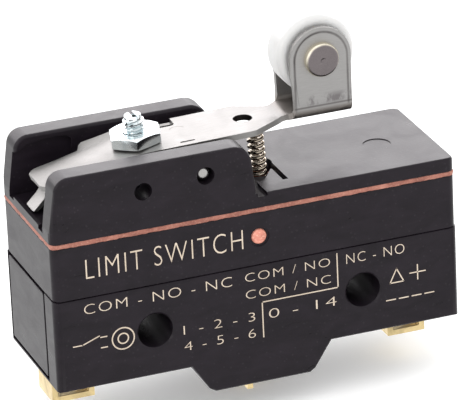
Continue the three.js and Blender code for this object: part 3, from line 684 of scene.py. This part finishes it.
def lever_sheet():
    """Plate, neck and roller bracket pressed from one blank."""
    xs = steps(ARM_X0, ARM_X0 + 1.2, 0.12) + steps(ARM_X0 + 1.5, NECK_END, 0.4)
    front = [(x, -arm_half_width(x)) for x in xs]
    cx = ROLLER_AXIS[0]
    ear_left = [
        (6.95, 2.3), (7.15, 2.5), (7.3, 2.9), (7.2, EAR_CENTRE - 3.4), (cx - EAR_R, EAR_CENTRE - 1.6)]
    ear_over = arc(cx, EAR_CENTRE, EAR_R, 180, 0, 36)
    ear_right = [(cx + EAR_R, EAR_CENTRE - 0.6), (BRACKET_X1 - 0.02, EAR_FLAT + EAR_BEND)]
    ear = ear_left + ear_over[1:] + ear_right[1:]
    notch = [
        (NOTCH_X1, arm_half_width(NOTCH_X1)), (-5.5, 2.35), (-5.75, 2.05), (-6.1, 1.98), (-8.6, 1.98),
        (-8.95, 2.2), (NOTCH_X0, rear_half_width(NOTCH_X0))]
    rear = [(x, rear_half_width(x)) for x in reversed(xs) if x >= NOTCH_X1]
    rear += notch
    rear += [(x, rear_half_width(x)) for x in reversed(xs) if x < NOTCH_X0]
    outline = front + [(x, -u) for x, u in ear] + list(reversed(ear)) + rear
    eye = arc(EYE_X, 0, EYE_R, 360, 0, 32)[:-1]
    screw_hole = arc(SCREW_X, 0, 1.45, 360, 0, 28)[:-1]
    relief = [(-6.75, -3.3), (-6.75, -3.1), (-6.6, -2.98), (-5.1, -2.98), (-4.95, -3.1), (-4.95, -3.3)]
    bores = [arc(cx, side * EAR_CENTRE, BORE_R, 360, 0, 28)[:-1] for side in (1, -1)]
    columns = steps(ARM_X0 + 0.3, 5.4, 0.45) + steps(5.6, 7.2, 0.2) + steps(7.6, 14.0, 0.8)
    rows = [0.6, 1.3] + [EAR_FLAT + EAR_BEND * k / 5 for k in range(6)]
    rows += [EAR_FLAT + EAR_BEND + 0.9 * k for k in range(1, 11)]
    bm = sheet_metal(
        outline, [eye, screw_hole, relief, *bores], lever_surface, SHEET, columns,
        [0.0] + rows + [-v for v in rows])
    # coined border: the outer face of each ear steps in towards its edge
    rim, step_in = 0.5, 0.1
    for v in bm.verts:
        dx, dz = v.co.x - cx, v.co.z - ROLLER_AXIS[1]
        inside = EAR_R - math.hypot(dx, dz) if dz > 0 else min(EAR_R - abs(dx), 9)
        if v.co.z > FLOOR_TOP + 1.2 and abs(v.co.y) > BRACKET_W - 0.2 and inside < rim:
            v.co.y -= math.copysign(step_in * (1 - inside / rim), v.co.y)
    return bm


def ear_border(side):
    """The raised flat field inside the coined border of an ear, as a thin plate on its outer face."""
    cx, cz = ROLLER_AXIS
    inset = 0.52
    r = EAR_R - inset
    left = [(cx - r, cz - 1.7), (7.06 + inset, cz - 3.4), (7.34 + inset * 0.8, 21.75)]
    right = [(14.28 - inset, 21.75), (cx + r, cz - 0.6)]
    outline = right + arc(cx, cz, r, 0, 180, 36)[1:] + left
    y = side * (BRACKET_W + 0.06)

    def bend(x, z):
        return Vector((x, y, z)), Vector((0, side, 0))

    return sheet_metal(outline, [], bend, 0.1, [], [], 0.05)


def pivot_ear(side):
    """Ear bent down from the plate round the pivot pin."""
    inner, top = 3.35, 19.55
    outline = [(-8.0, top), (-7.4, PIVOT[1])] + arc(*PIVOT, 1.6, 180, 360, 20)[1:] + [(-3.6, top)]
    bore = arc(*PIVOT, PIN_R + 0.07, 360, 0, 24)[:-1]
    y = side * (inner + SHEET)

    def bend(x, z):
        return Vector((x, y, z)), Vector((0, side, 0))

    return sheet_metal(outline, [bore], bend, SHEET, [], [], 0.06)


def stop_tab():
    """Tongue that turns down under the nose and runs out to the sill."""
    path = [(-20.9, 17.45), (-21.45, 16.95), (-21.85, 16.1), (-22.15, 15.4), (-22.5, 14.9),
            (-23.1, 14.3), (-23.62, 13.78), (-23.78, 13.62)]
    span = len(path) - 1
    y0, y1 = -0.5, 2.1

    def bend(s, y):
        i = min(int(s), span - 1)
        (x0, z0), (x1, z1) = path[i], path[i + 1]
        here = Vector((lerp(x0, x1, s - i), y, lerp(z0, z1, s - i)))
        if s > span - 1.01:
            return here, Vector((-1, 0, 0.2)).normalized()
        ahead, behind = path[min(i + 1, span)], path[max(i - 1, 0) if s == i else i]
        along = Vector((ahead[0] - behind[0], 0, ahead[1] - behind[1])).normalized()
        return here, Vector((along.z, 0, -along.x))

    outline = [(0, y0), (span - 0.4, y0), (span, y0 + 0.2), (span, y1 - 0.2), (span - 0.4, y1), (0, y1)]
    return sheet_metal(outline, [], bend, 0.55, list(range(1, span)), [0.2, 1.2], 0.06)


def joined(name, *parts):
    """One mesh of several parts."""
    bm = bmesh.new()
    for part in parts:
        mesh = to_mesh("part", part)
        bm.from_mesh(mesh)
        bpy.data.meshes.remove(mesh)
    bmesh.ops.recalc_face_normals(bm, faces=bm.faces)
    return to_mesh(name, bm)


lever = joined(
    "lever_piece", lever_sheet(), ear_border(-1), ear_border(1), pivot_ear(-1), pivot_ear(1), stop_tab())
smoothed(lever, 40)
lever = applied(lever, ("WEIGHTED_NORMAL", {"keep_sharp": True}))
finish_piece("lever_piece", lever, "lever_arm", "steel", "lever")


# ---------------------------------------------------------------- roller and rivet
def roller():
    """Crowned roller with a shallow groove moulded in each side."""
    r, half, bore, edge, crown = 4.7, 2.0, 1.36, 0.75, 0.015
    profile = [(bore, -half + 0.15), (bore + 0.15, -half)]
    profile += [(2.9, -half), (3.0, -half + 0.06), (3.6, -half + 0.06), (3.7, -half)]
    for k in range(9):
        a = math.pi / 2 * k / 8
        profile.append((r - edge + edge * math.sin(a), -half + edge - edge * math.cos(a)))
    profile += [(r + crown, 0)]
    profile += [(x, -y) for x, y in reversed(profile[:-1])]
    return to_mesh("roller_piece", lathe(profile, 96, "Y", (ROLLER_AXIS[0], 0, ROLLER_AXIS[1])))


finish_piece("roller_piece", smoothed(roller(), 50), "roller", "nylon", "roller")


def rivet():
    """Axle with a struck head in front, a dimple at its middle, and a spread end behind."""
    face = BRACKET_W + 0.06
    head, shank = 2.03, 1.3
    front = -face - 0.9
    profile = [
        (0, front + 0.2), (0.16, front + 0.19), (0.3, front + 0.1), (0.42, front + 0.015), (0.55, front)]
    ripples, ripple_depth = 12, 0.012
    for k in range(ripples):
        r = lerp(0.62, head - 0.42, k / (ripples - 1))
        profile.append((r, front + (ripple_depth if k % 2 else 0.0)))
    profile += [(head - 0.36, front + 0.03), (head - 0.2, front + 0.12), (head - 0.06, front + 0.3),
                (head, front + 0.5), (head, -face)]
    spread, back = head - 0.1, face + 0.68
    profile += [(shank, -face), (shank, face), (spread, face), (spread, face + 0.2),
                (spread - 0.2, face + 0.48), (spread - 0.7, face + 0.64), (0.7, back), (0, back)]
    return to_mesh("roller_rivet_piece", lathe(profile, 72, "Y", (ROLLER_AXIS[0], 0, ROLLER_AXIS[1])))


finish_piece(
    "roller_rivet_piece", smoothed(rivet(), 45), "lever_arm", "steel", "roller_rivet",
    material=RIVET_STEEL)


def pivot_pin():
    """Plain pin with rounded ends, a little short of the housing's faces."""
    end = [(PIN_R, 7.6), (0.78, 7.8), (0.62, 7.93), (0.42, 7.99), (0, 8.0)]
    profile = [(r, -y) for r, y in reversed(end)] + end
    return to_mesh("pivot_pin_piece", lathe(profile, 40, "Y", (PIVOT[0], 0, PIVOT[1])))


finish_piece(
    "pivot_pin_piece", smoothed(pivot_pin(), 45), "case", "steel", "pivot_pin", material=PIN_STEEL)


# ---------------------------------------------------------------- screw and nut
# Both are drawn upright about the origin and tilted with the arm.
ON_ARM = Matrix.Translation((SCREW_X, 0, arm_top(SCREW_X) + 0.08)) @ Matrix.Rotation(SCREW_TILT, 4, "Y")


def screw():
    """A threaded shank with a slotted, turned-down top. The thread is a helical grid of points."""
    root, crest, pitch = 0.93, 1.25, 0.5
    low, high = -5.25, 2.9  # ends of the thread
    top = high + 0.45
    foot_r, top_r, slot_width, slot_depth = 0.75, 0.98, 0.5, 0.65
    around, per_pitch = 40, 8
    rows = int((high - low) / pitch * per_pitch)
    shape = [0.0, 0.0, 0.35, 1.0, 1.0, 1.0, 0.35, 0.0]
    bm = bmesh.new()
    grid = []
    for i in range(-per_pitch, rows + 1):
        ring = []
        for k in range(around):
            z = low + pitch * (i / per_pitch + k / around)
            held = min(max(z, low), high)
            fade = smoothstep(held, low, low + 0.6) * (1 - smoothstep(held, high - 0.3, high))
            r = root + (crest - root) * shape[i % per_pitch] * fade
            a = 2 * math.pi * k / around
            ring.append(bm.verts.new((r * math.cos(a), r * math.sin(a), held)))
        grid.append(ring)
    for i in range(len(grid) - 1):
        for k in range(around):
            if k + 1 < around:
                quad = [grid[i][k], grid[i][k + 1], grid[i + 1][k + 1], grid[i + 1][k]]
            elif i + per_pitch + 1 < len(grid):
                quad = [grid[i][k], grid[i + per_pitch][0], grid[i + per_pitch + 1][0], grid[i + 1][k]]
            else:
                continue
            bm.faces.new(quad)
    flat = [f for f in bm.faces if f.calc_area() < 1e-7]
    bmesh.ops.delete(bm, geom=flat, context="FACES_ONLY")
    bmesh.ops.remove_doubles(bm, verts=bm.verts, dist=0.001)
    core_r = root + 0.01
    core = lathe([(0, low - 0.05), (foot_r, low - 0.05), (core_r, low + 0.2), (core_r, high - 0.35),
                  (top_r, high - 0.15), (top_r, top - 0.14), (top_r - 0.14, top), (0, top)],
                 48, "Z")
    slot = bmesh.new()
    slot_size = Matrix.Diagonal((slot_width, 4, 2 * slot_depth, 1))
    bmesh.ops.create_cube(slot, size=1, matrix=Matrix.Translation((0, 0, top)) @ slot_size)
    body, tool = to_mesh("screw_core", core), to_mesh("screw_slot", slot)
    cutter = bpy.data.objects.new("cutter", tool)
    bpy.context.scene.collection.objects.link(cutter)
    rounding = {"width": 0.05, "segments": 2, "limit_method": "ANGLE", "angle_limit": math.radians(50)}
    body = applied(body, ("BOOLEAN", {"operation": "DIFFERENCE", "object": cutter, "solver": "EXACT"}),
                   ("BEVEL", rounding))
    bpy.data.objects.remove(cutter)
    bm.from_mesh(body)
    return to_mesh("adjusting_screw_piece", bm)


screw_mesh = smoothed(screw(), 50)
screw_mesh.transform(ON_ARM)
finish_piece("adjusting_screw_piece", screw_mesh, "lever_arm", "zinc", "adjusting_screw")


def nut():
    """Hexagon with its corners turned off by a chamfer cone at each end."""
    flat_r, height, turn = 2.8, 1.3, math.radians(-15)
    bore_r, face_r = 1.3, 1.5
    sixth = math.pi / 3
    bm = bmesh.new()
    around = 72
    rings = []

    def hexagon(a):
        return flat_r / math.cos((a - turn + sixth / 2) % sixth - sixth / 2)

    profile = [("bore", 0.15), ("face", 0.0), ("cone", 0.0), ("wall", 0.0), ("wall", 1.0), ("cone", 1.0),
               ("face", 1.0), ("bore", 0.85)]
    for kind, share in profile:
        ring = []
        for k in range(around):
            a = 2 * math.pi * k / around
            if kind == "bore":
                r, z = bore_r, share * height
            elif kind == "face":
                r, z = face_r, share * height
            elif kind == "cone":
                r, z = flat_r - 0.06, share * height
            else:
                r = hexagon(a)
                corner = r - flat_r
                z = 0.02 + corner * 0.12 if share < 0.5 else height - 0.02 - corner * 0.42
            ring.append(bm.verts.new((r * math.cos(a), r * math.sin(a), z)))
        rings.append(ring)
    bridged(bm, rings + rings[:1])
    bmesh.ops.recalc_face_normals(bm, faces=bm.faces)
    return to_mesh("lock_nut_piece", bm)


nut_mesh = smoothed(nut(), 28)
nut_mesh.transform(ON_ARM)
finish_piece("lock_nut_piece", nut_mesh, "lever_arm", "zinc", "lock_nut")


# ---------------------------------------------------------------- return spring
def spring():
    """Open coil that leans a little, foot towards the roller, with flat closed ends."""
    wire, radius, turns = 0.235, 0.81, 10.5
    (foot_x, z0), (head_x, z1) = (3.8, 11.9), (3.3, 19.35)
    around, ring = 28, 10
    closed = 1.0 / turns
    bm = bmesh.new()
    rows = []
    count = int(turns * around)
    low, high = z0 + wire, z1 - wire
    for k in range(count + 1):
        t = k / count
        a = 2 * math.pi * turns * t
        rise = min(1.0, max(0.0, (t - closed) / (1 - 2 * closed)))
        ends = (min(t, closed) + max(0.0, t - 1 + closed)) / closed * 2 * wire
        z = low + ends + rise * (high - low - 4 * wire)
        cx = lerp(foot_x, head_x, (z - z0) / (z1 - z0))
        out = Vector((math.cos(a), math.sin(a), 0))
        centre = Vector((cx, 0, z)) + out * radius
        row = []
        for j in range(ring):
            b = 2 * math.pi * j / ring
            section = out * wire * math.cos(b) + Vector((0, 0, wire * math.sin(b)))
            row.append(bm.verts.new(centre + section))
        rows.append(row)
    for a, b in zip(rows, rows[1:]):
        for j in range(ring):
            n = (j + 1) % ring
            bm.faces.new([a[j], b[j], b[n], a[n]])
    bm.faces.new(rows[0])
    bm.faces.new(list(reversed(rows[-1])))
    bmesh.ops.recalc_face_normals(bm, faces=bm.faces)
    return to_mesh("return_spring_piece", bm)


spring_piece = finish_piece(
    "return_spring_piece", smoothed(spring(), 60), "case", "spring_wire", "return_spring")
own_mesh(spring_piece)


# ---------------------------------------------------------------- vent plug
def vent_plug():
    """Domed bead of sealant in the cover's vent."""
    back = COVER_FACE + 1.6
    dome = [(0, -0.1), (0.35, -0.09), (0.62, -0.05), (0.8, 0.02), (0.89, 0.14)]
    profile = [(r, COVER_FACE + y) for r, y in dome] + [(0.9, back), (0, back)]
    return to_mesh("vent_plug_piece", lathe(profile, 36, "Y", (0.3, 0, 9.1)))


finish_piece(
    "vent_plug_piece", smoothed(vent_plug(), 60), "case", "sealant", "vent_plug", material=POTTING)


# ---------------------------------------------------------------- printing on the front
INK_FILM = 0.015  # thickness of the print
RULE = 0.14  # width of the ruled lines


def ink_ring(bm, x, z, r, width, face):
    outer = arc(x, z, r, 0, 360, 28)
    inner = arc(x, z, r - width, 0, 360, 28)
    for (a, b), (c, d) in zip(zip(outer, outer[1:]), zip(inner, inner[1:])):
        corners = [bm.verts.new((px, face - INK_FILM, pz)) for px, pz in (a, b, d, c)]
        bm.faces.new(corners)


def ink_line(bm, x0, z0, x1, z1, face):
    """A printed stroke from one point to another."""
    along = Vector((x1 - x0, 0, z1 - z0)).normalized() * RULE / 2
    across = Vector((-along.z, 0, along.x))
    a = Vector((x0, face - INK_FILM, z0)) - along
    b = Vector((x1, face - INK_FILM, z1)) + along
    bm.faces.new([bm.verts.new(p) for p in (a - across, b - across, b + across, a + across)])


def wording(text, x0, z0, width, height, face):
    """Generic wording fitted to a box on the front face."""
    data = bpy.data.curves.new("wording", "FONT")
    data.body = text
    data.offset = -0.018
    data.space_character = 1.15
    data.resolution_u = 4
    holder = bpy.data.objects.new("wording", data)
    bpy.context.scene.collection.objects.link(holder)
    depsgraph = bpy.context.evaluated_depsgraph_get()
    mesh = bpy.data.meshes.new_from_object(holder.evaluated_get(depsgraph))
    bpy.data.objects.remove(holder)
    low = [min(v.co[i] for v in mesh.vertices) for i in (0, 1)]
    high = [max(v.co[i] for v in mesh.vertices) for i in (0, 1)]
    for v in mesh.vertices:
        across = (v.co.x - low[0]) / (high[0] - low[0])
        up = (v.co.y - low[1]) / (high[1] - low[1])
        v.co = Vector((x0 + across * width, face - INK_FILM, z0 + up * height))
    return mesh


def front_printing():
    """Generic wording, rules and symbols on the front."""
    base, cover = BASE_FACE, COVER_FACE
    bm = bmesh.new()
    for text, x0, z0, width, height, face in [
        ("LIMIT SWITCH", -20.6, 7.95, 18.9, 2.4, cover),
        ("COM - NO - NC", -21.1, 3.7, 17.8, 1.2, base),
        ("COM / NO", -1.7, 3.85, 10.4, 1.05, base),
        ("COM / NC", -1.7, 1.72, 10.4, 1.05, base),
        ("1 - 2 - 3", -9.4, -1.15, 8.7, 1.1, base),
        ("4 - 5 - 6", -9.4, -3.2, 8.7, 1.1, base),
        ("NC - NO", 10.7, 3.7, 7.2, 1.2, base),
        ("0 - 14", 1.0, -1.2, 8.3, 1.15, base),
    ]:
        mesh = wording(text, x0, z0, width, height, face)
        bm.from_mesh(mesh)
        bpy.data.meshes.remove(mesh)
    for x0, z0, x1, z1 in [
        # rules between the blocks of wording
        (9.57, 5.2, 9.57, 1.0), (9.57, 1.0, 0.24, 1.0), (0.24, 1.0, 0.24, -3.35),
        # change-over contact symbol
        (-22.6, 0.0, -21.5, 0.0), (-21.5, 0.0, -19.5, 0.75),
        (-19.3, 0.55, -18.6, 0.55), (-19.3, -0.75, -18.6, -0.75),
        # triangle, cross and four dashes at the right
        (16.0, 0.2, 17.7, 0.2), (16.0, 0.2, 16.85, 1.9), (17.7, 0.2, 16.85, 1.9),
        (18.5, 1.0, 20.4, 1.0), (19.45, 0.1, 19.45, 1.9),
        (15.5, -1.9, 16.6, -1.9), (17.1, -1.9, 18.2, -1.9),
        (18.7, -1.9, 19.8, -1.9), (20.3, -1.9, 21.4, -1.9),
    ]:
        ink_line(bm, x0, z0, x1, z1, base)
    for r in (1.4, 0.7):
        ink_ring(bm, -16.65, -0.1, r, 0.16, base)
    bmesh.ops.recalc_face_normals(bm, faces=bm.faces)
    for face in bm.faces:
        if face.normal.y > 0:
            face.normal_flip()
    return to_mesh("front_printing", bm)


finish_piece("front_printing", front_printing(), "case", "phenolic", material=INK)

# ---------------------------------------------------------------- CAD nodes that keep their shape
for cad_name, cad_slot in {
    "snap_blade": "copper_alloy", "blade_clamp": "brass", "blade_rivet": "brass",
    "moving_contact": "silver", "no_fixed_contact": "silver", "nc_fixed_contact": "silver",
    "plunger": "phenolic", "plunger_seal": "rubber",
}.items():
    kept = NODES[cad_name]
    kept.data.materials.clear()
    kept.data.materials.append(MATERIALS[cad_slot])

# ---------------------------------------------------------------- stage, lights and camera
FLOOR_HALF, FLOOR_Z = 3.0, -0.0127
corners = [(x * FLOOR_HALF, y * FLOOR_HALF, FLOOR_Z) for x, y in ((-1, -1), (1, -1), (1, 1), (-1, 1))]
floor_mesh = bpy.data.meshes.new("floor")
floor_mesh.from_pydata(corners, [], [(0, 1, 2, 3)])
floor = bpy.data.objects.new("floor", floor_mesh)
bpy.context.scene.collection.objects.link(floor)
pale = Nodes("floor")
pale_tone = pale.ramp(pale.noise(6, 2), (0.3, (0.92, 0.92, 0.92)), (0.7, (0.94, 0.94, 0.94)))
pale.set(color=pale_tone, rough=0.9, level=0.1)
pale.shader.inputs["Emission Color"].default_value = (1, 1, 1, 1)
pale.shader.inputs["Emission Strength"].default_value = 0.2
floor_mesh.materials.append(pale.material)
floor.visible_glossy = False

LIT_POINT = Vector((0, MID_Y * MM, 0.0103))


def area(name, azimuth, elevation, distance, width, height, power, color=(1, 1, 1)):
    """A softbox aimed at the object; azimuth 0 is in front, 90 to the right."""
    az, el = math.radians(azimuth), math.radians(elevation)
    offset = Vector((math.sin(az) * math.cos(el), -math.cos(az) * math.cos(el), math.sin(el))) * distance
    data = bpy.data.lights.new(name, "AREA")
    data.shape = "RECTANGLE"
    data.size, data.size_y = width, height
    data.energy = power
    data.color = color
    light = bpy.data.objects.new(name, data)
    bpy.context.scene.collection.objects.link(light)
    light.location = LIT_POINT + offset
    light.rotation_euler = (-offset).to_track_quat("-Z", "Y").to_euler()
    return light


back_panel = area("back_panel", 174, 26.5, 0.9, 1.8, 0.48, 10.9, (1, 0.962, 0.985))
back_panel.visible_diffuse = False
area("top_panel", -30, 75, 0.7, 0.5, 0.5, 0.55)
area("key_left", -62, 28, 0.8, 0.4, 0.5, 0.35)
left_card = area("left_card", -68, 24, 0.8, 0.5, 0.4, 0.7)
left_card.visible_diffuse = False

# The studio walls are darker in front of the object than behind it.
world = bpy.data.worlds.new("studio")
bpy.context.scene.world = world
world.use_nodes = True
room = world.node_tree
toward = room.nodes.new("ShaderNodeTexCoord").outputs["Generated"]
split = room.nodes.new("ShaderNodeSeparateXYZ")
room.links.new(toward, split.inputs[0])
shade = room.nodes.new("ShaderNodeMapRange")
shade.interpolation_type = "SMOOTHSTEP"
room.links.new(split.outputs["Y"], shade.inputs["Value"])
for socket, number in {"From Min": -1.0, "From Max": 0.6, "To Min": 1.25, "To Max": 1.5}.items():
    shade.inputs[socket].default_value = number
room.links.new(shade.outputs[0], room.nodes["Background"].inputs[1])
room.nodes["Background"].inputs[0].default_value = (1, 1, 1, 1)

# Camera: azimuth, elevation and roll in degrees, distance and target in metres, lens in mm.
AZIMUTH, ELEVATION, ROLL, DISTANCE, LENS = -19.632, 23.197, 2.672, 0.544014, 368.9
TARGET = Vector((0.000155, MID_Y * MM, 0.010332))
az, el = math.radians(AZIMUTH), math.radians(ELEVATION)
forward = Vector((-math.sin(az) * math.cos(el), math.cos(az) * math.cos(el), -math.sin(el)))
right = forward.cross(Vector((0, 0, 1))).normalized()
up = right.cross(forward)
turn = Matrix.Rotation(math.radians(ROLL), 3, forward)
right, up = turn @ right, turn @ up
camera_data = bpy.data.cameras.new("camera")
camera_data.lens = LENS
camera_data.sensor_width = 36
camera_data.clip_start, camera_data.clip_end = 0.01, 20
camera = bpy.data.objects.new("camera", camera_data)
bpy.context.scene.collection.objects.link(camera)
camera.matrix_world = Matrix.Translation(TARGET - forward * DISTANCE) @ Matrix(
    (right, up, -forward)).transposed().to_4x4()
bpy.context.scene.camera = camera
bpy.context.scene.view_settings.view_transform = "Standard"
